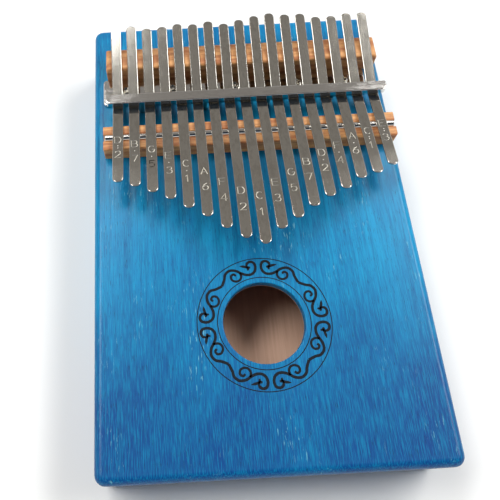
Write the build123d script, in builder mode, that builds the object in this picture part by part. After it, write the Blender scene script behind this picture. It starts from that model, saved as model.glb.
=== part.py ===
from build123d import *
import math
import os

# A seventeen-key box mbira (kalimba): a thin hollow wooden box, a wooden rest and a wooden
# bridge glued on its top, and seventeen spring-steel tines clamped between them by a bar.
# Millimetres. +X is the player's right, +Y points from the playing end to the rear end,
# +Z is up. The origin is the middle of the box's underside.

# ---- Box ----
body_width = 131.0             # the tines' spacing and all their supports follow it
body_length = 200.0
body_height = 33.0
board_thickness = 4.0
back_thickness = 4.0
rail_width = 10.0
end_block_depth = 12.0
corner_radius = 4.0            # upright corners, seen from above
edge_radius = 3.0              # rounding along the top and bottom edges
sound_hole_diameter = 31.5
sound_hole_to_playing_end = 54.3
hole_rim_radius = 0.5
brace_thickness = 6.0
brace_depth = 30.0
brace_ahead_of_bar = 6.0       # how far the brace reaches in front of the bar's middle

# ---- Key bed: where the tines' supports stand ----
key_bed_shift = 1.8            # the whole key bed sits a little right of the centre line
bar_to_rear_end = 47.4         # bar's middle to the rear face of the box
bar_to_rod = 17.4              # bar's middle to the rod's middle
bar_to_rest = 16.9             # bar's middle to the rest's front face

# ---- Rear rest ----
rest_overhang = 2.75           # past the outermost tine, at each end
rest_depth = 11.4
rest_height = 9.0
rest_edge_radius = 1.5         # front top edge, which the tines bear on
rest_corner_radius = 0.7

# ---- Front bridge and its rod ----
bridge_overhang = 4.25         # past the outermost tine, at each end
bridge_depth = 11.8
bridge_height = 7.5
bridge_edge_radius = 0.9
bridge_corner_radius = 0.7
groove_lip_radius = 0.5
rod_diameter = 3.0
rod_inset = 0.7                # each rod end, inside the bridge's end
rod_proud = 0.9                # how far the rod stands above the bridge
rod_end_chamfer = 0.3

# ---- Pressure bar ----
bar_overhang = 3.0             # past the outermost tine, at each end
bar_depth = 4.6
bar_thickness = 4.0
bar_belly = 1.2                # height of the rounded underside
bar_underside_height = 7.0     # above the soundboard
bar_edge_radius = 0.4
bar_front_corner_radius = 2.2
bar_rear_corner_radius = 1.0

# ---- Base plate ----
plate_overhang = 1.25          # past the tines' whole width, at each end
plate_depth = 14.0
plate_thickness = 1.5
plate_corner_radius = 2.0
plate_edge_radius = 0.6

# ---- Tines ----
tine_to_box_side = 7.25        # outermost tine's edge to the box's side, mean of both sides
tine_width = 4.5
tine_thickness = 1.0
tine_end_flat = 0.5            # straight part left between a tine end's rounded corners
bend_radius = 8.0              # inside radius of the bend under the bar
longest_tongue = 56.0          # rod to tip, of the lowest note
flexing_behind_rod = 4.0       # the strip also flexes this far behind the rod
lowest_note = 60               # semitone number of middle C

# One row for each tine, from left to right: note, semitone number, how much further out
# than its worked-out length it was tapped in tuning, and how far its tail passes the rest.
TINES = [
    ("d6", 86, 0.0, 8.5),
    ("b5", 83, 0.0, 9.0),
    ("g5", 79, -0.5, 7.5),
    ("e5", 76, 0.0, 8.0),
    ("c5", 72, 0.0, 9.0),
    ("a4", 69, 0.5, 8.5),
    ("f4", 65, 0.5, 9.5),
    ("d4", 62, 0.5, 8.0),
    ("c4", 60, 0.0, 9.5),
    ("e4", 64, 0.5, 11.0),
    ("g4", 67, 0.5, 12.0),
    ("b4", 71, 1.0, 11.0),
    ("d5", 74, 0.5, 11.0),
    ("f5", 77, 0.5, 9.0),
    ("a5", 81, 0.0, 9.0),
    ("c6", 84, 0.5, 10.0),
    ("e6", 88, 0.0, 10.0),
]

# ---- Fasteners ----
plate_screw_diameter = 2.9     # wood screws through the base plate
plate_screw_head_diameter = 4.6
plate_screw_head_height = 1.8
plate_screw_length = 9.0
plate_screw_steps = [-7, -4, 0, 4, 7]      # in tine pitches from the plate's middle
bar_screw_size = 2.0           # machine screws from inside the box up into the bar
bar_screw_side_gap = 0.25      # least room between such a screw and the tines beside it
bar_screw_head_diameter = 3.8
bar_screw_head_height = 1.6
bar_screw_steps = [-6, -2, 2, 6]           # in tine pitches from the plate's middle
bar_screw_engagement = 3.0     # thread length inside the bar
screw_clearance = 0.1          # round a screw where it only passes through
head_dome_share = 0.6          # of a head's height, rounded over
recess_width_share = 0.2       # of a head's diameter
recess_length_share = 0.55     # of a head's diameter
recess_depth_share = 0.6       # of a head's height
point_taper_share = 0.4        # of a wood screw's diameter, lost at its point

# ---- Fits ----
contact_gap = 0.02             # between pieces that bear on each other
split_gap = 0.2                # between a tine's clamped part and its moving tongue
seat_gap = 0.02                # round the rod in its groove
strip_clearance = 0.3          # between the tines and the bridge's top behind the rod

# ---- Sizes and places worked out from the ones above ----
tine_pitch = (body_width - 2 * tine_to_box_side - tine_width) / (len(TINES) - 1)
tine_span = (len(TINES) - 1) * tine_pitch + tine_width
tine_end_radius = (tine_width - tine_end_flat) / 2
rest_length = tine_span + 2 * rest_overhang
bridge_length = tine_span + 2 * bridge_overhang
rod_length = bridge_length - 2 * rod_inset
bar_length = tine_span + 2 * bar_overhang
plate_length = tine_span + 2 * plate_overhang
bar_screw_diameter = min(bar_screw_size, tine_pitch - tine_width - 2 * bar_screw_side_gap)
board_top = body_height
board_bottom = body_height - board_thickness
rear_face = body_length / 2
bar_y = rear_face - bar_to_rear_end
rod_y = bar_y - bar_to_rod
rest_front = bar_y + bar_to_rest
rest_rear = rest_front + rest_depth
hole_y = sound_hole_to_playing_end - body_length / 2
rod_radius = rod_diameter / 2
rod_z = board_top + bridge_height + rod_proud - rod_radius
bar_bottom = board_top + bar_underside_height
bar_top = bar_bottom + bar_thickness
plate_top = board_top + plate_thickness
plate_y = rest_front - plate_depth / 2
# The screws stand in the gaps between tines, so their pattern and the plate they hold sit
# half a pitch to the left of the tines' own middle.
plate_x = key_bed_shift - tine_pitch / 2
plate_screw_places = [(plate_x + n * tine_pitch, plate_y) for n in plate_screw_steps]
bar_screw_places = [(plate_x + n * tine_pitch, bar_y) for n in bar_screw_steps]
brace_bottom = board_bottom - brace_thickness
brace_y = bar_y - brace_ahead_of_bar + brace_depth / 2
inner_width = body_width - 2 * rail_width
inner_length = body_length - 2 * end_block_depth
wall_height = board_bottom - back_thickness
bridge_front = rod_y - bridge_depth / 2
bridge_rear = rod_y + bridge_depth / 2
bridge_top = board_top + bridge_height
groove_half = rod_radius + seat_gap


def strip_slope(run, drop, radii):
    """Angle of the line that passes under one circle and over another.

    run and drop place the lower circle from the upper one's middle, and radii is the sum of
    both radii, with the gap between the strip and its support.
    """
    return math.asin(radii / math.hypot(run, drop)) - math.atan2(drop, run)


# Each tine is a flat strip bent into a shallow V: the bar presses it down in the middle, the
# rod lifts it in front and the rest's rounded edge lifts it behind.
bend_z = bar_bottom - contact_gap + bend_radius
under_radius = bend_radius + tine_thickness
front_slope = strip_slope(
    bar_to_rod,
    bend_z - rod_z,
    under_radius + rod_radius + contact_gap,
)
rest_edge_y = rest_front + rest_edge_radius
rest_edge_z = board_top + rest_height - rest_edge_radius
rear_slope = strip_slope(
    rest_edge_y - bar_y,
    bend_z - rest_edge_z,
    under_radius + rest_edge_radius + contact_gap,
)
# The rod's line of contact with a strip's underside, where the tongue begins.
contact_y = rod_y + (rod_radius + contact_gap) * math.sin(front_slope)
contact_z = rod_z + (rod_radius + contact_gap) * math.cos(front_slope)


def tine_x(index):
    """Middle of the tine with this index, counted from the left."""
    return key_bed_shift + (index - (len(TINES) - 1) / 2) * tine_pitch


def tongue_length(semitone, tapped_out):
    """Length from rod to tip: a strip's pitch falls with the square of its length."""
    ratio = 2 ** ((semitone - lowest_note) / 12)
    flexing = (longest_tongue + flexing_behind_rod) / math.sqrt(ratio)
    return flexing - flexing_behind_rod + tapped_out


def clear_of_strips(y):
    """Height at y that stays clear of the tines' underside, between the bar and the rod."""
    return contact_z - (y - contact_y) * math.tan(front_slope) - strip_clearance


planing_end = bridge_rear + bridge_depth
planing_top = bridge_top + bridge_height
planed_edge_z = min(bridge_top, clear_of_strips(bridge_rear))


def strip_point(side, slope, radius, along):
    """Point of a strip's top or underside line.

    side is -1 in front of the bar and +1 behind it, radius is that face's bend radius, and
    along is the distance from the end of the bend.
    """
    y = bar_y + side * (radius * math.sin(slope) + along * math.cos(slope))
    z = bend_z - radius * math.cos(slope) + along * math.sin(slope)
    return (y, z)


os.makedirs("parts", exist_ok=True)

# ---- Soundboard: the stained top plate with its sound hole ----
with BuildPart() as soundboard:
    with BuildSketch(Plane.XY.offset(board_bottom)):
        RectangleRounded(body_width, body_length, corner_radius)
    extrude(amount=board_thickness)
    fillet(soundboard.faces().sort_by(Axis.Z)[-1].edges(), radius=edge_radius)
    with BuildSketch(Plane.XY.offset(board_bottom)):
        with Locations((0, hole_y)):
            Circle(sound_hole_diameter / 2)
    extrude(amount=board_thickness, mode=Mode.SUBTRACT)
    hole_rim = soundboard.faces().sort_by(Axis.Z)[-1].edges().filter_by(GeomType.CIRCLE)
    fillet(hole_rim.sort_by(Edge.length)[-1], radius=hole_rim_radius)
    with BuildSketch(Plane.XY.offset(board_bottom)):
        with Locations(*plate_screw_places):
            Circle(plate_screw_diameter / 2)
        with Locations(*bar_screw_places):
            Circle(bar_screw_diameter / 2 + screw_clearance)
    extrude(amount=board_thickness, mode=Mode.SUBTRACT)
soundboard.part.label = "soundboard"
export_step(soundboard.part, "parts/soundboard.step")

# ---- Back plate: closes the box from below ----
with BuildPart() as back_plate:
    with BuildSketch():
        RectangleRounded(body_width, body_length, corner_radius)
    extrude(amount=back_thickness)
    fillet(back_plate.faces().sort_by(Axis.Z)[0].edges(), radius=edge_radius)
back_plate.part.label = "back_plate"
export_step(back_plate.part, "parts/back_plate.step")

# ---- Side rails, between the end blocks ----
for name, side in (("left_rail", -1), ("right_rail", 1)):
    with BuildPart() as rail:
        with BuildSketch(Plane.XY.offset(back_thickness)):
            with Locations((side * (body_width - rail_width) / 2, 0)):
                Rectangle(rail_width, inner_length)
        extrude(amount=wall_height)
    rail.part.label = name
    export_step(rail.part, f"parts/{name}.step")

# ---- End blocks, with the box's upright corners ----
for name, side in (("playing_end_block", -1), ("rear_end_block", 1)):
    with BuildPart() as end_block:
        with BuildSketch(Plane.XY.offset(back_thickness)):
            with Locations((0, side * (body_length - end_block_depth) / 2)):
                Rectangle(body_width, end_block_depth)
        extrude(amount=wall_height)
        outer_corners = end_block.edges().filter_by(Axis.Z).sort_by(Axis.Y)
        fillet(outer_corners[:2] if side < 0 else outer_corners[-2:], radius=corner_radius)
    end_block.part.label = name
    export_step(end_block.part, f"parts/{name}.step")

# ---- Brace under the soundboard, which both sets of screws go into ----
with BuildPart() as brace:
    with BuildSketch(Plane.XY.offset(brace_bottom)):
        with Locations((0, brace_y)):
            Rectangle(inner_width, brace_depth)
        with Locations(*bar_screw_places):
            Circle(bar_screw_diameter / 2 + screw_clearance, mode=Mode.SUBTRACT)
    extrude(amount=brace_thickness)
    with BuildSketch(Plane.XY.offset(plate_top - plate_screw_length)):
        with Locations(*plate_screw_places):
            Circle(plate_screw_diameter / 2)
    extrude(until=Until.LAST, mode=Mode.SUBTRACT)
brace.part.label = "brace"
export_step(brace.part, "parts/brace.step")

# ---- Rear rest: its rounded front edge carries the tines' tails ----
with BuildPart() as rear_rest:
    with BuildSketch(Plane.XY.offset(board_top)):
        with Locations((key_bed_shift, rest_front + rest_depth / 2)):
            RectangleRounded(rest_length, rest_depth, rest_corner_radius)
    extrude(amount=rest_height)
    top_edges = rear_rest.faces().sort_by(Axis.Z)[-1].edges()
    fillet(top_edges.filter_by(Axis.X).sort_by(Axis.Y)[0], radius=rest_edge_radius)
rear_rest.part.label = "rear_rest"
export_step(rear_rest.part, "parts/rear_rest.step")

# ---- Front bridge: a block with a groove along its top for the rod ----
with BuildPart() as front_bridge:
    with BuildSketch(Plane.YZ.offset(key_bed_shift)) as bridge_side:
        with BuildLine():
            Polyline(
                (bridge_front, board_top),
                (bridge_front, bridge_top),
                (bridge_rear, bridge_top),
                (bridge_rear, board_top),
                close=True,
            )
        make_face()
        # Behind the rod the top is planed down to stay clear of the tines.
        with BuildLine():
            Polyline(
                (rod_y, clear_of_strips(rod_y)),
                (rod_y, planing_top),
                (planing_end, planing_top),
                (planing_end, clear_of_strips(planing_end)),
                close=True,
            )
        make_face(mode=Mode.SUBTRACT)
        with Locations((rod_y, rod_z)):
            Circle(groove_half, mode=Mode.SUBTRACT)
            Rectangle(
                2 * groove_half,
                body_height,
                align=(Align.CENTER, Align.MIN),
                mode=Mode.SUBTRACT,
            )
        corners = bridge_side.vertices()
        front_corner = corners.sort_by_distance((bridge_front, bridge_top, 0))[0]
        rear_corner = corners.sort_by_distance((bridge_rear, planed_edge_z, 0))[0]
        fillet([front_corner, rear_corner], radius=bridge_edge_radius)
        corners = bridge_side.vertices()
        front_lip = corners.sort_by_distance((rod_y - groove_half, bridge_top, 0))[0]
        rear_lip = corners.sort_by_distance((rod_y + groove_half, bridge_top, 0))[0]
        fillet([front_lip, rear_lip], radius=groove_lip_radius)
    extrude(amount=bridge_length, both=True)
    with BuildSketch(Plane.XY.offset(board_top)):
        with Locations((key_bed_shift, rod_y)):
            RectangleRounded(bridge_length, bridge_depth, bridge_corner_radius)
    extrude(amount=bridge_height, mode=Mode.INTERSECT)
front_bridge.part.label = "front_bridge"
export_step(front_bridge.part, "parts/front_bridge.step")

# ---- Bridge rod ----
with BuildPart() as bridge_rod:
    with BuildSketch(Plane.YZ.offset(key_bed_shift - rod_length / 2)):
        with Locations((rod_y, rod_z)):
            Circle(rod_radius)
    extrude(amount=rod_length)
    chamfer(bridge_rod.edges().filter_by(GeomType.CIRCLE), length=rod_end_chamfer)
bridge_rod.part.label = "bridge_rod"
export_step(bridge_rod.part, "parts/bridge_rod.step")

# ---- Pressure bar: flat on top, rounded underneath where it bears on the tines ----
with BuildPart() as pressure_bar:
    with BuildSketch(Plane.YZ.offset(key_bed_shift - bar_length / 2)):
        with BuildLine():
            Polyline(
                (bar_y - bar_depth / 2, bar_bottom + bar_belly),
                (bar_y - bar_depth / 2, bar_top),
                (bar_y + bar_depth / 2, bar_top),
                (bar_y + bar_depth / 2, bar_bottom + bar_belly),
            )
            ThreePointArc(
                (bar_y + bar_depth / 2, bar_bottom + bar_belly),
                (bar_y, bar_bottom),
                (bar_y - bar_depth / 2, bar_bottom + bar_belly),
            )
        make_face()
    extrude(amount=bar_length)
    uprights = pressure_bar.edges().filter_by(Axis.Z).sort_by(Axis.Y)
    fillet(uprights[:2], radius=bar_front_corner_radius)
    fillet(
        pressure_bar.edges().filter_by(Axis.Z).sort_by(Axis.Y)[-2:],
        radius=bar_rear_corner_radius,
    )
    fillet(pressure_bar.faces().sort_by(Axis.Z)[-1].edges(), radius=bar_edge_radius)
    with BuildSketch(Plane.XY.offset(bar_bottom)):
        with Locations(*bar_screw_places):
            Circle(bar_screw_diameter / 2)
    extrude(amount=bar_screw_engagement, mode=Mode.SUBTRACT)
pressure_bar.part.label = "pressure_bar"
export_step(pressure_bar.part, "parts/pressure_bar.step")

# ---- Base plate: polished strip under the tines, between the bar and the rest ----
with BuildPart() as base_plate:
    with BuildSketch(Plane.XY.offset(board_top)):
        with Locations((plate_x, plate_y)):
            RectangleRounded(plate_length, plate_depth, plate_corner_radius)
        with Locations(*plate_screw_places):
            Circle(plate_screw_diameter / 2 + screw_clearance, mode=Mode.SUBTRACT)
    extrude(amount=plate_thickness)
    plate_rim = base_plate.faces().sort_by(Axis.Z)[-1].outer_wire().edges()
    fillet(plate_rim, radius=plate_edge_radius)
base_plate.part.label = "base_plate"
export_step(base_plate.part, "parts/base_plate.step")


def pan_head_screw(shank_diameter, shank_length, head_diameter, head_height, point_length):
    """A cross-recessed pan-head screw, its head's underside at the origin, shank along -Z."""
    recess_width = head_diameter * recess_width_share
    recess_length = head_diameter * recess_length_share
    with BuildPart() as screw:
        Cylinder(
            head_diameter / 2,
            head_height,
            align=(Align.CENTER, Align.CENTER, Align.MIN),
        )
        fillet(screw.edges().sort_by(Axis.Z)[-1], radius=head_height * head_dome_share)
        with BuildSketch(Plane.XY.offset(head_height)):
            Rectangle(recess_width, recess_length)
            Rectangle(recess_length, recess_width)
        extrude(amount=-head_height * recess_depth_share, mode=Mode.SUBTRACT)
        with BuildSketch(Plane.XY):
            Circle(shank_diameter / 2)
        extrude(amount=-shank_length)
        if point_length > 0:
            tip_edge = screw.edges().filter_by(GeomType.CIRCLE).sort_by(Axis.Z)[0]
            taper = shank_diameter * point_taper_share
            chamfer(tip_edge, length=point_length, length2=taper)
    return screw.part


# ---- Wood screws that hold the base plate down, in the gaps between tines ----
plate_screw = pan_head_screw(
    plate_screw_diameter,
    plate_screw_length,
    plate_screw_head_diameter,
    plate_screw_head_height,
    point_length=plate_screw_diameter,
)
with BuildPart() as base_plate_screws:
    with Locations(*[(x, y, plate_top) for x, y in plate_screw_places]):
        add(plate_screw)
base_plate_screws.part.label = "base_plate_screws"
export_step(base_plate_screws.part, "parts/base_plate_screws.step")

# ---- Machine screws from inside the box, which pull the bar down on the tines ----
bar_screw = pan_head_screw(
    bar_screw_diameter,
    bar_bottom + bar_screw_engagement - brace_bottom,
    bar_screw_head_diameter,
    bar_screw_head_height,
    point_length=0,
)
with BuildPart() as pressure_bar_screws:
    with Locations(*[Location((x, y, brace_bottom), (180, 0, 0)) for x, y in bar_screw_places]):
        add(bar_screw)
pressure_bar_screws.part.label = "pressure_bar_screws"
export_step(pressure_bar_screws.part, "parts/pressure_bar_screws.step")


# ---- Tines: a clamped shank from tail to rod, and a tongue from rod to tip ----
def make_shank(x, tail_overhang):
    """The part of a tine from its tail, under the bar, to the rod."""
    rear_top = strip_point(1, rear_slope, bend_radius, 0)
    rear_under = strip_point(1, rear_slope, under_radius, 0)
    front_top = strip_point(-1, front_slope, bend_radius, 0)
    front_under = strip_point(-1, front_slope, under_radius, 0)
    tail_run = (rest_rear + tail_overhang - rear_top[0]) / math.cos(rear_slope)
    rod_run = (front_under[0] - contact_y) / math.cos(front_slope) - split_gap / 2
    with BuildPart() as shank:
        with BuildSketch(Plane.YZ.offset(x - tine_width / 2)):
            with BuildLine():
                Line(strip_point(1, rear_slope, bend_radius, tail_run), rear_top)
                ThreePointArc(rear_top, (bar_y, bend_z - bend_radius), front_top)
                Polyline(
                    front_top,
                    strip_point(-1, front_slope, bend_radius, rod_run),
                    strip_point(-1, front_slope, under_radius, rod_run),
                    front_under,
                )
                ThreePointArc(front_under, (bar_y, bend_z - under_radius), rear_under)
                Polyline(
                    rear_under,
                    strip_point(1, rear_slope, under_radius, tail_run),
                    strip_point(1, rear_slope, bend_radius, tail_run),
                )
            make_face()
        extrude(amount=tine_width)
        tail_face = shank.faces().sort_by(Axis.Y)[-1]
        tail_corners = tail_face.edges().filter_by(Axis.X, reverse=True)
        fillet(tail_corners, radius=tine_end_radius)
    return shank.part


def make_tongue(x, length):
    """The part of a tine that the thumb plucks, lying along the front slope."""
    strip_plane = Plane(
        origin=(x, contact_y, contact_z),
        x_dir=(0, -math.cos(front_slope), math.sin(front_slope)),
        z_dir=(0, math.sin(front_slope), math.cos(front_slope)),
    )
    with BuildPart() as tongue:
        with BuildSketch(strip_plane):
            with Locations((split_gap / 2, 0)):
                Rectangle(
                    length - split_gap / 2,
                    tine_width,
                    align=(Align.MIN, Align.CENTER),
                )
        extrude(amount=tine_thickness)
        tip_face = tongue.faces().sort_by(Axis.Y)[0]
        tip_corners = tip_face.edges().filter_by(Axis.X, reverse=True)
        fillet(tip_corners, radius=tine_end_radius)
    return tongue.part


for index, (note, semitone, tapped_out, tail_overhang) in enumerate(TINES):
    shank_part = make_shank(tine_x(index), tail_overhang)
    shank_part.label = f"tine_{note}_shank"
    export_step(shank_part, f"parts/tine_{note}_shank.step")
    tongue_part = make_tongue(tine_x(index), tongue_length(semitone, tapped_out))
    tongue_part.label = f"tine_{note}_tongue"
    export_step(tongue_part, f"parts/tine_{note}_tongue.step")
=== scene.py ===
import math

import bmesh
import bpy
from mathutils import Matrix, Vector


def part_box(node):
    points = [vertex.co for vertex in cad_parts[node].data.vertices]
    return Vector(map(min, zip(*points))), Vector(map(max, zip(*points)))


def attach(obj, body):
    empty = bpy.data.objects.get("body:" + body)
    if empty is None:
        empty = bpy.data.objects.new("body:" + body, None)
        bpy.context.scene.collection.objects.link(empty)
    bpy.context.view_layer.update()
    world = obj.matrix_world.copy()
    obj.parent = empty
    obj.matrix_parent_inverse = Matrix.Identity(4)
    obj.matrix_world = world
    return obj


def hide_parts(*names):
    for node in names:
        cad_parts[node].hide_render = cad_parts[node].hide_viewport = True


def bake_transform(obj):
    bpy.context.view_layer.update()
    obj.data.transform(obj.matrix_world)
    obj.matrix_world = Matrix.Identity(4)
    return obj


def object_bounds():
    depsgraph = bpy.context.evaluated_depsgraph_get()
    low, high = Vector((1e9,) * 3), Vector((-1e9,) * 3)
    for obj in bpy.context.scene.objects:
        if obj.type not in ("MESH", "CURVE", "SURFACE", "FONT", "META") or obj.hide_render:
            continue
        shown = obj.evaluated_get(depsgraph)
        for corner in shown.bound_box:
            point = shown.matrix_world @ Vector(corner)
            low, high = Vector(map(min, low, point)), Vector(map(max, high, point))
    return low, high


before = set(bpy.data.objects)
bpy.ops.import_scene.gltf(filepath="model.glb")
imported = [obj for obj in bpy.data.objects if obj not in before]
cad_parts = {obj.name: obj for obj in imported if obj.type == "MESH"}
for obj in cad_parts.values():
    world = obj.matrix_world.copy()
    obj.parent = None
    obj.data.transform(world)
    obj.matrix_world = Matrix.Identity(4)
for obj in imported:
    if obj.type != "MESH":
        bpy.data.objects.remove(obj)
cad_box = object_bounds()

# A seventeen-key box mbira. The box, its wooden rest and bridge, the bar, the rod, the base
# plate and the screws are the CAD's own nodes with their finishes. The tines are rebuilt as
# whole strips with eased edges and stamped note names, and the burnt ring of vine scroll round
# the sound hole is added. Everything is in metres: lengths in the comments are millimetres.
MM = 0.001

# ---- Sizes that the frame's boxes don't hold ----
TINE_THICKNESS = 1.0 * MM
TINE_END_RADIUS = 2.0 * MM
TINE_EDGE_ROUNDING = 0.26 * MM
BEND_RADIUS = 8.0 * MM               # inside radius of the bend under the bar
REST_EDGE_RADIUS = 1.5 * MM
CONTACT_GAP = 0.02 * MM
TIP_SET_LENGTH = 8.1 * MM            # the last stretch of a tine is set down a little
TIP_SET_ANGLE = math.radians(1.3)
FLEXING_LENGTH = 7.0 * MM            # the stretch that bends when a tine is plucked
FLEXING_BEHIND_ROD = 1.0 * MM
BROAD_FACE = 0.999                   # a face whose normal's z is past this is a broad one
SHARP_ANGLE = math.radians(40)

SOUND_HOLE_TO_PLAYING_END = 54.3 * MM
INNER_RING_RADIUS = 17.9 * MM
OUTER_RING_RADIUS = 25.8 * MM
RING_LINE_WIDTH = 0.36 * MM
SCROLL_LINE_WIDTH = 1.08 * MM
BURN_LIFT = 0.02 * MM
RING_STEPS = 144
STAINED_DEPTH = 3.6 * MM             # how far the stain reaches down the sound hole's bore

STAMP_HEIGHT = 3.3 * MM
STAMP_WIDTH = 2.7 * MM
STAMP_LINE_WIDTH = 0.34 * MM
STAMP_DEPTH = 0.16 * MM
STAMP_DOT_RADIUS = 0.30 * MM
DIGIT_FROM_TIP = 13.8 * MM
DOTS_FROM_TIP = 17.6 * MM
DOT_SPACING = 1.1 * MM
LETTER_FROM_TIP = 21.4 * MM
CUTTER_LIFT = 0.05 * MM              # the punch's cutter starts this far above the strip


def span(node):
    """A CAD node's lowest and highest corners as vectors."""
    low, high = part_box(node)
    return Vector(low), Vector(high)


rod_low, rod_high = span("bridge_rod")
bar_low, bar_high = span("pressure_bar")
rest_low, rest_high = span("rear_rest")
board_low, board_high = span("soundboard")
back_top = span("back_plate")[1].z

BOARD_TOP = board_high.z
BOX_SIDE = board_high.x
BOX_END = board_high.y
HOLE_Y = board_low.y + SOUND_HOLE_TO_PLAYING_END
BAR_Y = (bar_low.y + bar_high.y) / 2
ROD_Y = (rod_low.y + rod_high.y) / 2
ROD_Z = (rod_low.z + rod_high.z) / 2
ROD_RADIUS = (rod_high.z - rod_low.z) / 2
BEND_Z = bar_low.z - CONTACT_GAP + BEND_RADIUS
UNDER_RADIUS = BEND_RADIUS + TINE_THICKNESS


# ---- Node trees ----
def linear(hex_code, alpha=1.0):
    """An sRGB hex colour as the linear values that Blender's sockets take."""
    channels = [int(hex_code[i : i + 2], 16) / 255 for i in (1, 3, 5)]
    return [c / 12.92 if c <= 0.04045 else ((c + 0.055) / 1.055) ** 2.4 for c in channels] + [alpha]


def add(tree, kind, inputs=None, **settings):
    """Adds a node with its settings. An input is a socket to link, a hex colour or a constant."""
    made = tree.nodes.new(kind)
    for name, value in settings.items():
        setattr(made, name, value)
    for socket, value in (inputs or {}).items():
        if isinstance(value, bpy.types.NodeSocket):
            tree.links.new(value, made.inputs[socket])
        elif isinstance(value, str):
            made.inputs[socket].default_value = linear(value)
        else:
            made.inputs[socket].default_value = value
    return made


# The colour sockets of a mix node, which share their names with its other sockets.
MIX_A, MIX_B, MIX_OUT = 6, 7, 2


def new_material(name):
    """A material with an empty tree, its shader and its output."""
    made = bpy.data.materials.new(name)
    made.use_nodes = True
    tree = made.node_tree
    tree.nodes.clear()
    shader = add(tree, "ShaderNodeBsdfPrincipled")
    add(tree, "ShaderNodeOutputMaterial", {"Surface": shader.outputs["BSDF"]})
    return made, tree, shader


def grain(tree, across, along, offset=0.0, axis="Y", reach=None):
    """Noise drawn out along the grain: across and along are the size of its features in mm.

    With a reach of low, high, least and most, the result goes smoothly from least to most
    while the noise goes from low to high.
    """
    place = add(tree, "ShaderNodeTexCoord").outputs["Object"]
    size = [across, along, across] if axis == "Y" else [along, across, across]
    scale = [1 / (MM * s) for s in size]
    stretched = {"Vector": place, "Scale": scale, "Location": [offset, offset, offset]}
    place = add(tree, "ShaderNodeMapping", stretched).outputs["Vector"]
    noise = {"Vector": place, "Scale": 1.0, "Detail": 3.0, "Roughness": 0.6}
    found = add(tree, "ShaderNodeTexNoise", noise).outputs["Fac"]
    if reach is None:
        return found
    low, high, least, most = reach
    ends = {"Value": found, "From Min": low, "From Max": high, "To Min": least, "To Max": most}
    return add(tree, "ShaderNodeMapRange", ends, interpolation_type="SMOOTHSTEP").outputs["Result"]


def layered(tree, colour, layers):
    """The colour with tints laid over it one by one, each as strongly as its share says."""
    for share, tint in layers:
        mix = {0: share, MIX_A: colour, MIX_B: tint}
        colour = add(tree, "ShaderNodeMix", mix, data_type="RGBA").outputs[MIX_OUT]
    return colour


# ---- Materials ----
def stained_mahogany():
    """Mahogany, dyed blue and sprayed with satin lacquer.

    The stain sinks further into the open pores, which show as dark dashes along the grain, and
    leaves the rays as pale flecks. It lies unevenly, and the colour is also darkened towards the
    playing end and in a band behind the rest. The lacquer lays a soft sheen over all of it. The
    inside of the box was never stained.
    """
    made, tree, shader = new_material("mahogany_stained_blue_satin_lacquer")
    place = add(tree, "ShaderNodeTexCoord").outputs["Object"]
    x, y, z = add(tree, "ShaderNodeSeparateXYZ", {"Vector": place}).outputs
    depth = grain(tree, 34.0, 46.0, 13.0, reach=(0.35, 0.68, -0.20, 0.22))
    # The colour is darkened smoothly towards the playing end and in a band behind the rest.
    for start, end, darker_by in ((10 * MM, -100 * MM, 1.0), (66 * MM, 82 * MM, 0.45)):
        ends = {"Value": y, "From Min": start, "From Max": end, "To Max": darker_by}
        end_darkening = add(tree, "ShaderNodeMapRange", ends, interpolation_type="SMOOTHSTEP")
        sum_of = {0: depth, 1: end_darkening.outputs["Result"]}
        depth = add(tree, "ShaderNodeMath", sum_of, operation="ADD").outputs[0]
    depth = add(tree, "ShaderNodeClamp", {"Value": depth}).outputs[0]
    # Pores are 0.1 wide in the wood: drawn at 0.3 so that they show.
    pores = grain(tree, 0.34, 4.2, 21.0, reach=(0.58, 0.70, 0.0, 0.60))
    sunk = grain(tree, 0.34, 4.2, 21.0, reach=(0.58, 0.70, 0.0, -1.0))
    flecks = grain(tree, 0.62, 4.6, 31.0, reach=(0.60, 0.70, 0.0, 0.62))
    patches = grain(tree, 17.0, 30.0, 41.0, reach=(0.50, 0.66, 0.0, 1.0))
    flecked = add(tree, "ShaderNodeMath", {0: flecks, 1: patches}, operation="MULTIPLY").outputs[0]
    bare = layered(tree, "#dfbda6", [(grain(tree, 1.1, 34.0), "#bb957e")])
    layers = [
        (depth, "#064282"),
        (grain(tree, 11.0, 120.0, 7.0, reach=(0.42, 0.62, 0.0, 0.42)), "#035088"),
        (grain(tree, 1.1, 34.0, reach=(0.42, 0.66, 0.0, 0.42)), "#034a80"),
        (grain(tree, 0.34, 8.0, 3.0, reach=(0.44, 0.64, 0.0, 0.30)), "#0aa6cc"),
        (pores, "#04294a"),
        (flecked, "#7cc4cf"),
        (inside_the_box(tree, x, y, z), bare),
    ]
    tree.links.new(layered(tree, "#028abc", layers), shader.inputs["Base Color"])
    height = {0: grain(tree, 0.34, 8.0, 3.0), 1: 0.3, 2: sunk}
    relief = add(tree, "ShaderNodeMath", height, operation="MULTIPLY_ADD").outputs[0]
    bump = {"Height": relief, "Strength": 0.35, "Distance": 0.04 * MM}
    tree.links.new(add(tree, "ShaderNodeBump", bump).outputs["Normal"], shader.inputs["Normal"])
    shader.inputs["Roughness"].default_value = 0.5
    shader.inputs["Specular IOR Level"].default_value = 0.10
    shader.inputs["Coat Weight"].default_value = 0.30
    shader.inputs["Coat Roughness"].default_value = 0.24
    return made


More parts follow.
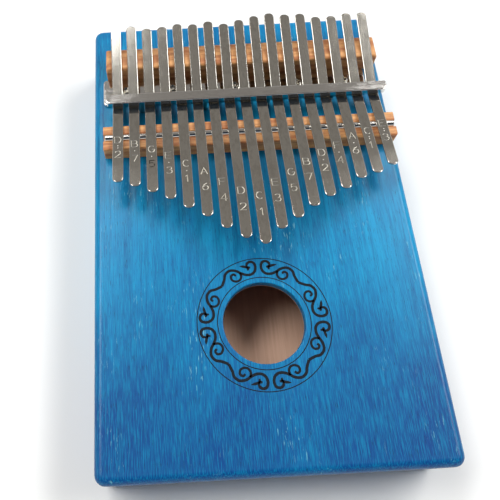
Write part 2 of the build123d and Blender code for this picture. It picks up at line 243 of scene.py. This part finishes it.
def inside_the_box(tree, x, y, z):
    """1 on the faces that look into the box, 0 on its outside and in the sound hole's bore."""
    wall = 2.0 * MM
    across = add(tree, "ShaderNodeMath", {0: x}, operation="ABSOLUTE").outputs[0]
    along = add(tree, "ShaderNodeMath", {0: y}, operation="ABSOLUTE").outputs[0]
    inside = 1.0
    for distance, side_of, limit in (
        (across, "LESS_THAN", BOX_SIDE - wall),
        (along, "LESS_THAN", BOX_END - wall),
        (z, "GREATER_THAN", back_top - 0.1 * MM),
        (z, "LESS_THAN", BOARD_TOP - STAINED_DEPTH),
    ):
        within = add(tree, "ShaderNodeMath", {0: distance, 1: limit}, operation=side_of).outputs[0]
        both = {0: inside, 1: within}
        inside = add(tree, "ShaderNodeMath", both, operation="MULTIPLY").outputs[0]
    return inside


def bare_mahogany():
    """Mahogany planed and left unstained, with a thin coat of oil.

    Warm golden brown with a ribbon figure, short dark pores along the grain and hardly any
    shine.
    """
    made, tree, shader = new_material("mahogany_planed_oiled")
    layers = [
        (grain(tree, 2.6, 16.0, 5.0, "X", reach=(0.36, 0.66, 0.0, 1.0)), "#ac6a3c"),
        (grain(tree, 0.7, 12.0, 9.0, "X", reach=(0.45, 0.65, 0.0, 0.35)), "#8e5232"),
        (grain(tree, 0.30, 2.2, 15.0, "X", reach=(0.60, 0.70, 0.0, 0.60)), "#5c3422"),
    ]
    tree.links.new(layered(tree, "#d89f64", layers), shader.inputs["Base Color"])
    sunk = grain(tree, 0.30, 2.2, 15.0, "X", reach=(0.60, 0.70, 0.0, -1.0))
    bump = {"Height": sunk, "Strength": 0.4, "Distance": 0.05 * MM}
    tree.links.new(add(tree, "ShaderNodeBump", bump).outputs["Normal"], shader.inputs["Normal"])
    shader.inputs["Roughness"].default_value = 0.55
    shader.inputs["IOR"].default_value = 1.48
    return made


def polished_metal(name, light, dull, roughness, grind, axis):
    """A metal whose polishing lines run along one axis.

    light and dull are its colours where the polish is best and worst, roughness goes up a
    little in the dull places, and grind is the depth of the polishing lines.
    """
    made, tree, shader = new_material(name)
    # Polishing lines are about 0.02 wide: drawn at 0.3 so that they show.
    lines = grain(tree, 0.3, 9.0, 2.0, axis)
    haze = grain(tree, 2.4, 6.0, 8.0, axis, reach=(0.38, 0.70, 0.0, 1.0))
    # Specks are the small dents of tumbling and handling, a quarter of a millimetre wide.
    specks = grain(tree, 0.26, 0.26, 17.0, reach=(0.70, 0.78, 0.0, 1.0))
    worn = add(tree, "ShaderNodeMath", {0: haze, 1: specks}, operation="MAXIMUM").outputs[0]
    tree.links.new(layered(tree, light, [(worn, dull)]), shader.inputs["Base Color"])
    duller = {0: worn, 1: 0.06, 2: roughness}
    rough = add(tree, "ShaderNodeMath", duller, operation="MULTIPLY_ADD").outputs[0]
    tree.links.new(rough, shader.inputs["Roughness"])
    bump = {"Height": lines, "Strength": 0.25, "Distance": grind}
    tree.links.new(add(tree, "ShaderNodeBump", bump).outputs["Normal"], shader.inputs["Normal"])
    shader.inputs["Metallic"].default_value = 1.0
    return made


def spring_steel():
    """Spring steel strip, rolled and tumbled bright: grey mirror with fine lengthwise lines."""
    return polished_metal("spring_steel_rolled_bright", "#c3c0b8", "#aca89f", 0.12, 0.003 * MM, "Y")


def chrome_plate():
    """Steel, polished and chrome plated: a cleaner and brighter mirror than the tines."""
    return polished_metal("steel_chrome_plated", "#d6d4d0", "#c9c6c1", 0.07, 0.001 * MM, "X")


def nickel_screw():
    """Steel screws, nickel plated in a barrel: bright, a little warm, softly dulled."""
    return polished_metal("steel_screws_nickel_plated", "#d6d1c6", "#b9b3a6", 0.16, 0.003 * MM, "X")


def stamped_steel():
    """The walls of the note names, pressed into the steel by a punch.

    The punch leaves a fine matt face that scatters light, so the names read paler than the
    mirror round them.
    """
    made, tree, shader = new_material("spring_steel_punched")
    fine = grain(tree, 0.15, 0.15, 4.0)
    tree.links.new(layered(tree, "#dcd9d0", [(fine, "#c4c0b6")]), shader.inputs["Base Color"])
    shader.inputs["Metallic"].default_value = 1.0
    shader.inputs["Roughness"].default_value = 0.42
    return made


def burnt_wood():
    """Wood charred by a laser beam: brown-black, matt, a little uneven along the line."""
    made, tree, shader = new_material("mahogany_laser_burnt")
    uneven = grain(tree, 0.6, 1.6, 6.0)
    tree.links.new(layered(tree, "#0c1a26", [(uneven, "#101012")]), shader.inputs["Base Color"])
    shader.inputs["Roughness"].default_value = 0.8
    shader.inputs["Specular IOR Level"].default_value = 0.25
    return made


FINISHES = {
    "stained_mahogany": stained_mahogany(),
    "bare_mahogany": bare_mahogany(),
    "chrome_plate": chrome_plate(),
    "spring_steel": spring_steel(),
    "nickel_screw": nickel_screw(),
}
STAMPED = stamped_steel()
BURNT = burnt_wood()

FINISH_OF_NODE = {
    "stained_mahogany": [
        "soundboard",
        "back_plate",
        "left_rail",
        "right_rail",
        "playing_end_block",
        "rear_end_block",
    ],
    "bare_mahogany": ["brace", "rear_rest", "front_bridge"],
    "chrome_plate": ["bridge_rod", "pressure_bar", "base_plate"],
    "nickel_screw": ["base_plate_screws", "pressure_bar_screws"],
}
for slot_name, node_names in FINISH_OF_NODE.items():
    for node_name in node_names:
        for material_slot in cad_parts[node_name].material_slots:
            material_slot.material = FINISHES[slot_name]


# ---- Mesh helpers ----
def piece_from(mesh_data, name, *materials):
    """A new object with the mesh and materials, in the scene."""
    mesh = bpy.data.meshes.new(name)
    mesh_data.to_mesh(mesh)
    mesh_data.free()
    made = bpy.data.objects.new(name, mesh)
    bpy.context.scene.collection.objects.link(made)
    for material in materials:
        mesh.materials.append(material)
    return made


def arc(centre_x, centre_y, radius_x, radius_y, start, end, steps=9):
    """Points of an arc of an ellipse, from one angle to another in degrees."""
    angles = [math.radians(start + (end - start) * i / steps) for i in range(steps + 1)]
    return [(centre_x + radius_x * math.cos(a), centre_y + radius_y * math.sin(a)) for a in angles]


def smooth_through(points, steps=6):
    """A smooth line through the points (Catmull-Rom), with steps pieces between two of them."""
    padded = [Vector(p) for p in [points[0]] + list(points) + [points[-1]]]
    line = []
    for a, b, c, d in zip(padded, padded[1:], padded[2:], padded[3:]):
        straight, bowed, twisted = c - a, 2 * a - 5 * b + 4 * c - d, 3 * b - a - 3 * c + d
        for t in (i / steps for i in range(steps)):
            line.append(tuple(b + (straight * t + bowed * t**2 + twisted * t**3) / 2))
    return line + [tuple(points[-1])]


def sideways(line, closed=False):
    """At each point of a flat line, the mitred direction to its left."""
    count = len(line)
    found = []
    for i in range(count):
        before = line[i - 1] if i > 0 or closed else line[i]
        after = line[(i + 1) % count] if i < count - 1 or closed else line[i]
        into = Vector(line[i]) - Vector(before)
        out = Vector(after) - Vector(line[i])
        into = into.normalized() if into.length else out.normalized()
        out = out.normalized() if out.length else into
        mean = (into + out).normalized()
        # The mitre of a sharp corner is kept short.
        mitre = min(1 / max(mean.dot(into), 0.2), 1.6)
        found.append(Vector((-mean.y, mean.x)) * mitre)
    return found


# ---- Tines ----
# One glyph's strokes, each a line in a box one wide and one high.
GLYPHS = {
    "A": [[(0, 0), (0.5, 1), (1, 0)], [(0.2, 0.36), (0.8, 0.36)]],
    "B": [
        [(0, 0), (0, 1), (0.5, 1)] + arc(0.55, 0.76, 0.33, 0.24, 90, -90) + [(0.05, 0.52)],
        arc(0.55, 0.26, 0.42, 0.26, 90, -90) + [(0.05, 0)],
    ],
    "C": [arc(0.52, 0.5, 0.5, 0.5, 50, 310, 14)],
    "D": [[(0, 0), (0, 1), (0.4, 1)] + arc(0.45, 0.5, 0.52, 0.5, 90, -90) + [(0.05, 0)]],
    "E": [[(0.95, 1), (0, 1), (0, 0), (0.95, 0)], [(0.05, 0.52), (0.8, 0.52)]],
    "F": [[(0.95, 1), (0, 1), (0, 0)], [(0.05, 0.52), (0.8, 0.52)]],
    "G": [arc(0.52, 0.5, 0.5, 0.5, 50, 345, 14) + [(1, 0.46), (0.6, 0.46)]],
    "1": [[(0.25, 0.8), (0.55, 1), (0.55, 0)]],
    "2": [arc(0.5, 0.7, 0.42, 0.3, 165, -35) + [(0.05, 0), (0.95, 0)]],
    "3": [arc(0.46, 0.76, 0.4, 0.24, 150, -85), arc(0.46, 0.27, 0.46, 0.27, 80, -150)],
    "4": [[(0.7, 0), (0.7, 1), (0.02, 0.3), (1, 0.3)]],
    "5": [[(0.9, 1), (0.18, 1), (0.12, 0.56)] + arc(0.46, 0.33, 0.44, 0.33, 125, -145)],
    "6": [arc(0.5, 0.31, 0.43, 0.31, 170, -185, 16), [(0.8, 0.98), (0.38, 0.78), (0.1, 0.4)]],
    "7": [[(0.05, 1), (0.95, 1), (0.38, 0)]],
}
DEGREE_OF_LETTER = {"C": "1", "D": "2", "E": "3", "F": "4", "G": "5", "A": "6", "B": "7"}
OCTAVE_WITHOUT_DOTS = 4


def strip_slope(run, drop, radii):
    """Angle of the line that passes under one circle and over another."""
    return math.asin(radii / math.hypot(run, drop)) - math.atan2(drop, run)


FRONT_SLOPE = strip_slope(BAR_Y - ROD_Y, BEND_Z - ROD_Z, UNDER_RADIUS + ROD_RADIUS + CONTACT_GAP)
REAR_SLOPE = strip_slope(
    rest_low.y + REST_EDGE_RADIUS - BAR_Y,
    BEND_Z - (rest_high.z - REST_EDGE_RADIUS),
    UNDER_RADIUS + REST_EDGE_RADIUS + CONTACT_GAP,
)
CONTACT_Y = ROD_Y + (ROD_RADIUS + CONTACT_GAP) * math.sin(FRONT_SLOPE)


def bent(along, height, tip):
    """Where a point of the flat strip goes when the strip is bent.

    along is measured from under the bar's middle, positive to the rear, height from the top
    face, and tip is where the strip's front end is.
    """
    side = 1 if along > 0 else -1
    slope = REAR_SLOPE if along > 0 else FRONT_SLOPE
    radius = BEND_RADIUS - height
    angle = min(abs(along) / BEND_RADIUS, slope)
    straight = max(abs(along) - BEND_RADIUS * slope, 0.0)
    past_set = max(tip + TIP_SET_LENGTH - along, 0.0)
    y = BAR_Y + side * (radius * math.sin(angle) + straight * math.cos(slope))
    z = BEND_Z - radius * math.cos(angle) + straight * math.sin(slope)
    return y, z - past_set * math.sin(TIP_SET_ANGLE)


def flat_strip(half_width, tip, tail):
    """The strip before it is bent: a bar with round-cornered ends and eased edges."""
    strip = bmesh.new()
    corner_x = half_width - TINE_END_RADIUS
    outline = []
    for centre_x, centre_y, start in (
        (corner_x, tail - TINE_END_RADIUS, 0),
        (-corner_x, tail - TINE_END_RADIUS, 90),
        (-corner_x, tip + TINE_END_RADIUS, 180),
        (corner_x, tip + TINE_END_RADIUS, 270),
    ):
        outline += arc(centre_x, centre_y, TINE_END_RADIUS, TINE_END_RADIUS, start, start + 90)
    face = strip.faces.new([strip.verts.new((x, y, -TINE_THICKNESS)) for x, y in outline])
    face.normal_update()
    if face.normal.z > 0:
        face.normal_flip()
    raised = bmesh.ops.extrude_face_region(strip, geom=[face])["geom"]
    top = [v for v in raised if isinstance(v, bmesh.types.BMVert)]
    bmesh.ops.translate(strip, vec=(0, 0, TINE_THICKNESS), verts=top)
    bmesh.ops.recalc_face_normals(strip, faces=strip.faces)
    rims = [e for e in strip.edges if abs(e.verts[0].co.z - e.verts[1].co.z) < 0.1 * MM]
    bmesh.ops.bevel(
        strip,
        geom=rims,
        offset=TINE_EDGE_ROUNDING,
        offset_type="OFFSET",
        segments=3,
        profile=0.5,
        affect="EDGES",
    )
    return strip


def punch(cutter, line, half_width, depth):
    """Adds a V-shaped groove along the line to the cutter that is taken out of a strip."""
    spread = half_width * (depth + CUTTER_LIFT) / depth
    rings = []
    for point, left in zip(line, sideways(line)):
        centre = Vector(point)
        ring = [
            cutter.verts.new((*(centre + left * spread), CUTTER_LIFT)),
            cutter.verts.new((*centre, -depth)),
            cutter.verts.new((*(centre - left * spread), CUTTER_LIFT)),
        ]
        rings.append(ring)
    for a, b in zip(rings, rings[1:]):
        for i, j in ((0, 1), (1, 2), (2, 0)):
            cutter.faces.new([a[i], a[j], b[j], b[i]])
    cutter.faces.new(rings[0][::-1])
    cutter.faces.new(rings[-1])


def note_cutter(note, tip):
    """The punch marks of one note: its letter, a dot for each octave up, and its number."""
    cutter = bmesh.new()
    letter = note[0].upper()
    dots = int(note[1]) - OCTAVE_WITHOUT_DOTS
    for glyph, middle in ((letter, LETTER_FROM_TIP), (DEGREE_OF_LETTER[letter], DIGIT_FROM_TIP)):
        for stroke in GLYPHS[glyph]:
            line = [
                ((x - 0.5) * STAMP_WIDTH, tip + middle + (y - 0.5) * STAMP_HEIGHT)
                for x, y in stroke
            ]
            punch(cutter, line, STAMP_LINE_WIDTH / 2, STAMP_DEPTH)
    for i in range(dots):
        y = tip + DOTS_FROM_TIP + (i - (dots - 1) / 2) * DOT_SPACING
        circle = arc(0, y, STAMP_DOT_RADIUS, STAMP_DOT_RADIUS, 0, 315, 7)
        rim = [cutter.verts.new((*on_rim, CUTTER_LIFT)) for on_rim in circle]
        point = cutter.verts.new((0, y, -STAMP_DEPTH))
        cutter.faces.new(rim)
        for a, b in zip(rim, rim[1:] + rim[:1]):
            cutter.faces.new([a, point, b])
    bmesh.ops.recalc_face_normals(cutter, faces=cutter.faces)
    return cutter


def cut_away(piece, cutter):
    """Takes the cutter out of the piece for good and removes it."""
    cut = piece.modifiers.new("punch", "BOOLEAN")
    cut.operation = "DIFFERENCE"
    cut.solver = "EXACT"
    cut.use_self = True
    cut.material_mode = "TRANSFER"
    cut.object = cutter
    seen = piece.evaluated_get(bpy.context.evaluated_depsgraph_get())
    finished = bpy.data.meshes.new_from_object(seen)
    piece.modifiers.clear()
    blank = piece.data
    piece.data = finished
    finished.name = piece.name
    bpy.data.meshes.remove(blank)
    cutter_mesh = cutter.data
    bpy.data.objects.remove(cutter)
    bpy.data.meshes.remove(cutter_mesh)


def make_tine(note):
    """One tine, from its tail over the rest, under the bar and over the rod to its tip."""
    shank, tongue = f"tine_{note}_shank", f"tine_{note}_tongue"
    shank_low, shank_high = span(shank)
    tongue_low = span(tongue)[0]
    middle = (shank_low.x + shank_high.x) / 2
    half_width = (shank_high.x - shank_low.x) / 2
    front_run = BAR_Y - tongue_low.y - UNDER_RADIUS * math.sin(FRONT_SLOPE)
    rear_run = shank_high.y - BAR_Y - UNDER_RADIUS * math.sin(REAR_SLOPE)
    tip = -(BEND_RADIUS * FRONT_SLOPE + front_run / math.cos(FRONT_SLOPE))
    tail = BEND_RADIUS * REAR_SLOPE + rear_run / math.cos(REAR_SLOPE)
    strip = flat_strip(half_width, tip, tail)
    rod_at = -(BAR_Y - CONTACT_Y) / math.cos(FRONT_SLOPE)
    cuts = [BEND_RADIUS * (REAR_SLOPE * i / 4) for i in range(-4, 5)]
    cuts += [rod_at + FLEXING_BEHIND_ROD - FLEXING_LENGTH * i / 8 for i in range(9)]
    cuts += [tip + TIP_SET_LENGTH]
    for cut in cuts:
        bmesh.ops.bisect_plane(
            strip,
            geom=strip.verts[:] + strip.edges[:] + strip.faces[:],
            plane_co=(0, cut, 0),
            plane_no=(0, 1, 0),
        )
    tine = piece_from(strip, f"tine_{note}", FINISHES["spring_steel"])
    cut_away(tine, piece_from(note_cutter(note, tip), f"punch_{note}", STAMPED))
    # The broad faces stay flat mirrors, and only the eased edges and the sides are smooth.
    eased = [abs(polygon.normal.z) < BROAD_FACE for polygon in tine.data.polygons]
    tine.data.set_sharp_from_angle(angle=SHARP_ANGLE)
    tine.data.polygons.foreach_set("use_smooth", eased)
    for vertex in tine.data.vertices:
        y, z = bent(vertex.co.y, vertex.co.z, tip)
        vertex.co = (middle + vertex.co.x, y, z)
    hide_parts(shank, tongue)
    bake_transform(tine)


NOTES = [name[len("tine_") : -len("_shank")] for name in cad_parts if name.endswith("_shank")]
for note_name in NOTES:
    make_tine(note_name)


# ---- Burnt ring of vine scroll round the sound hole ----
# An eighth of the ring. Each point is (how far round, how far out from the middle of the
# ring), in millimetres: the stem starts in a leaf by the axis and runs to the eighth's end,
# and the tendril curls under the stem's crest.
STEM = [
    (4.4, 1.2), (3.9, 2.4), (2.7, 2.9), (1.5, 2.2), (1.1, 0.5), (1.7, -1.3), (3.4, -2.3),
    (5.6, -2.0), (7.4, -0.7), (8.9, 1.1), (10.9, 2.3), (13.0, 2.0), (14.6, 0.6), (17.16, -0.6),
]
TENDRIL = [
    (7.7, -0.3), (8.0, -2.0), (9.4, -3.0), (11.2, -2.7), (12.2, -1.3), (11.6, 0.1), (10.3, 0.2),
    (9.9, -0.8),
]
LEAF = [(3.1, 0.5), (4.3, 0.9), (5.4, 1.5), (6.9, 2.3)]
LEAF_BACK = [(4.4, 1.1), (4.1, 0.2), (4.5, -0.5)]


def ribbon(ring, line, widths, lift, closed=False):
    """Adds a flat burnt line: widths are its full width at each point of the line."""
    pairs = []
    for point, left, width in zip(line, sideways(line, closed), widths):
        centre = Vector(point)
        z = BOARD_TOP + lift
        pairs.append(
            (
                ring.verts.new((*(centre + left * width / 2), z)),
                ring.verts.new((*(centre - left * width / 2), z)),
            )
        )
    followers = pairs[1:] + pairs[:1] if closed else pairs[1:]
    for a, b in zip(pairs, followers):
        ring.faces.new([a[0], a[1], b[1], b[0]])


def on_ring(point, eighth):
    """A point of the eighth's pattern, on the board: every second eighth is mirrored."""
    round_way, outwards = (c * MM for c in point)
    middle = (INNER_RING_RADIUS + OUTER_RING_RADIUS) / 2
    turned = round_way / middle
    start = math.radians(90) * ((eighth + 1) // 2)
    angle = start + turned if eighth % 2 == 0 else start - turned
    radius = middle + outwards
    return (radius * math.cos(angle), HOLE_Y + radius * math.sin(angle))


def make_rosette():
    """Both thin rings and the scroll between them, burnt into the soundboard."""
    ring = bmesh.new()
    for radius in (INNER_RING_RADIUS, OUTER_RING_RADIUS):
        line = arc(0, HOLE_Y, radius, radius, 0, 360, RING_STEPS)[:-1]
        ribbon(ring, line, [RING_LINE_WIDTH] * len(line), BURN_LIFT, closed=True)
    for eighth in range(8):
        # Each stroke, its full width, and the shares of it that its two ends start from.
        for stroke, thick, start_width, end_width in (
            (STEM, SCROLL_LINE_WIDTH, 0.7, 1.0),
            (TENDRIL, SCROLL_LINE_WIDTH * 0.85, 1.0, 0.8),
            (LEAF, SCROLL_LINE_WIDTH * 0.95, 0.5, 0.0),
            (LEAF_BACK, SCROLL_LINE_WIDTH * 0.8, 0.8, 0.0),
        ):
            line = smooth_through([on_ring(p, eighth) for p in stroke])
            last = len(line) - 1
            widths = []
            for i in range(last + 1):
                share = i / last
                easing = min(1.0, start_width + 4 * share) * min(1.0, end_width + 4 * (1 - share))
                widths.append(thick * easing)
            ribbon(ring, line, widths, BURN_LIFT * 1.5)
    rosette = piece_from(ring, "burnt_scroll_ring", BURNT)
    for polygon in rosette.data.polygons:
        if polygon.normal.z < 0:
            polygon.flip()
    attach(rosette, "box")


make_rosette()


# ---- Floor, light and camera ----
FLOOR_SIZE = 6.0
HORIZON_TOP = math.sin(math.radians(10))    # the sky is white up to this height
CEILING_EDGE = math.sin(math.radians(30))
# Each soft light's name, middle, width, depth and power.
SOFT_BOXES = [
    ("soft_box_left", (-0.44, 0.31, 1.0), 0.88, 0.31, 9.0),
    ("soft_box_right", (0.71, 0.31, 1.0), 0.90, 0.31, 11.0),
]
CAMERA_PLACE = Vector((-33.2, -101.1, 267.9)) * MM
CAMERA_TURN = math.radians(-0.6)
CAMERA_TILT = math.radians(24.67)
CAMERA_ROLL = math.radians(-2.54)


def make_floor():
    """A pale matt floor under the box."""
    made, tree, shader = new_material("studio_floor_matt_paint")
    shader.inputs["Base Color"].default_value = linear("#f4f4f2")
    shader.inputs["Roughness"].default_value = 0.9
    sheet = bmesh.new()
    half = FLOOR_SIZE / 2
    corners = [(-half, -half), (half, -half), (half, half), (-half, half)]
    sheet.faces.new([sheet.verts.new((x, y, cad_box[0][2])) for x, y in corners])
    floor = piece_from(sheet, "studio_floor", made)


def make_sky():
    """The room: white near the horizon, a grey ceiling, and dim where the player would be."""
    world = bpy.data.worlds.new("studio_room")
    bpy.context.scene.world = world
    world.use_nodes = True
    tree = world.node_tree
    tree.nodes.clear()
    place = add(tree, "ShaderNodeTexCoord").outputs["Generated"]
    x, y, z = add(tree, "ShaderNodeSeparateXYZ", {"Vector": place}).outputs
    shares = []
    for along, start, end in ((y, 0.0, -0.36), (z, HORIZON_TOP, CEILING_EDGE)):
        ends = {"Value": along, "From Min": start, "From Max": end}
        share = add(tree, "ShaderNodeMapRange", ends, interpolation_type="SMOOTHSTEP")
        shares.append(share.outputs["Result"])
    over_player, overhead = shares
    ceiling = layered(tree, "#928e8a", [(over_player, "#323c49")])
    colour = layered(tree, "#ffffff", [(overhead, ceiling)])
    light = add(tree, "ShaderNodeBackground", {"Color": colour, "Strength": 1.0})
    add(tree, "ShaderNodeOutputWorld", {"Surface": light.outputs["Background"]})


def soft_box(name, centre, width, depth, power):
    """A soft light that looks at the middle of the box."""
    data = bpy.data.lights.new(name, "AREA")
    data.shape = "RECTANGLE"
    data.size = width
    data.size_y = depth
    data.energy = power
    light = bpy.data.objects.new(name, data)
    bpy.context.scene.collection.objects.link(light)
    light.location = centre
    light.rotation_euler = Vector(centre).to_track_quat("Z", "Y").to_euler()


def make_camera():
    """Looks down on the box from above its playing end, a little to the left of its middle."""
    data = bpy.data.cameras.new("camera")
    data.sensor_width = 36.0
    data.lens = 44.46
    data.shift_x = 0.1523
    data.shift_y = -0.0952
    data.clip_start = 0.01
    camera = bpy.data.objects.new("camera", data)
    bpy.context.scene.collection.objects.link(camera)
    placed = Matrix.Translation(CAMERA_PLACE)
    for angle, axis in ((CAMERA_TURN, "Z"), (CAMERA_TILT, "X"), (CAMERA_ROLL, "Z")):
        placed = placed @ Matrix.Rotation(angle, 4, axis)
    camera.matrix_world = placed
    bpy.context.scene.camera = camera


make_floor()
make_sky()
for soft_box_values in SOFT_BOXES:
    soft_box(*soft_box_values)
make_camera()
bpy.context.scene.view_settings.view_transform = "Standard"
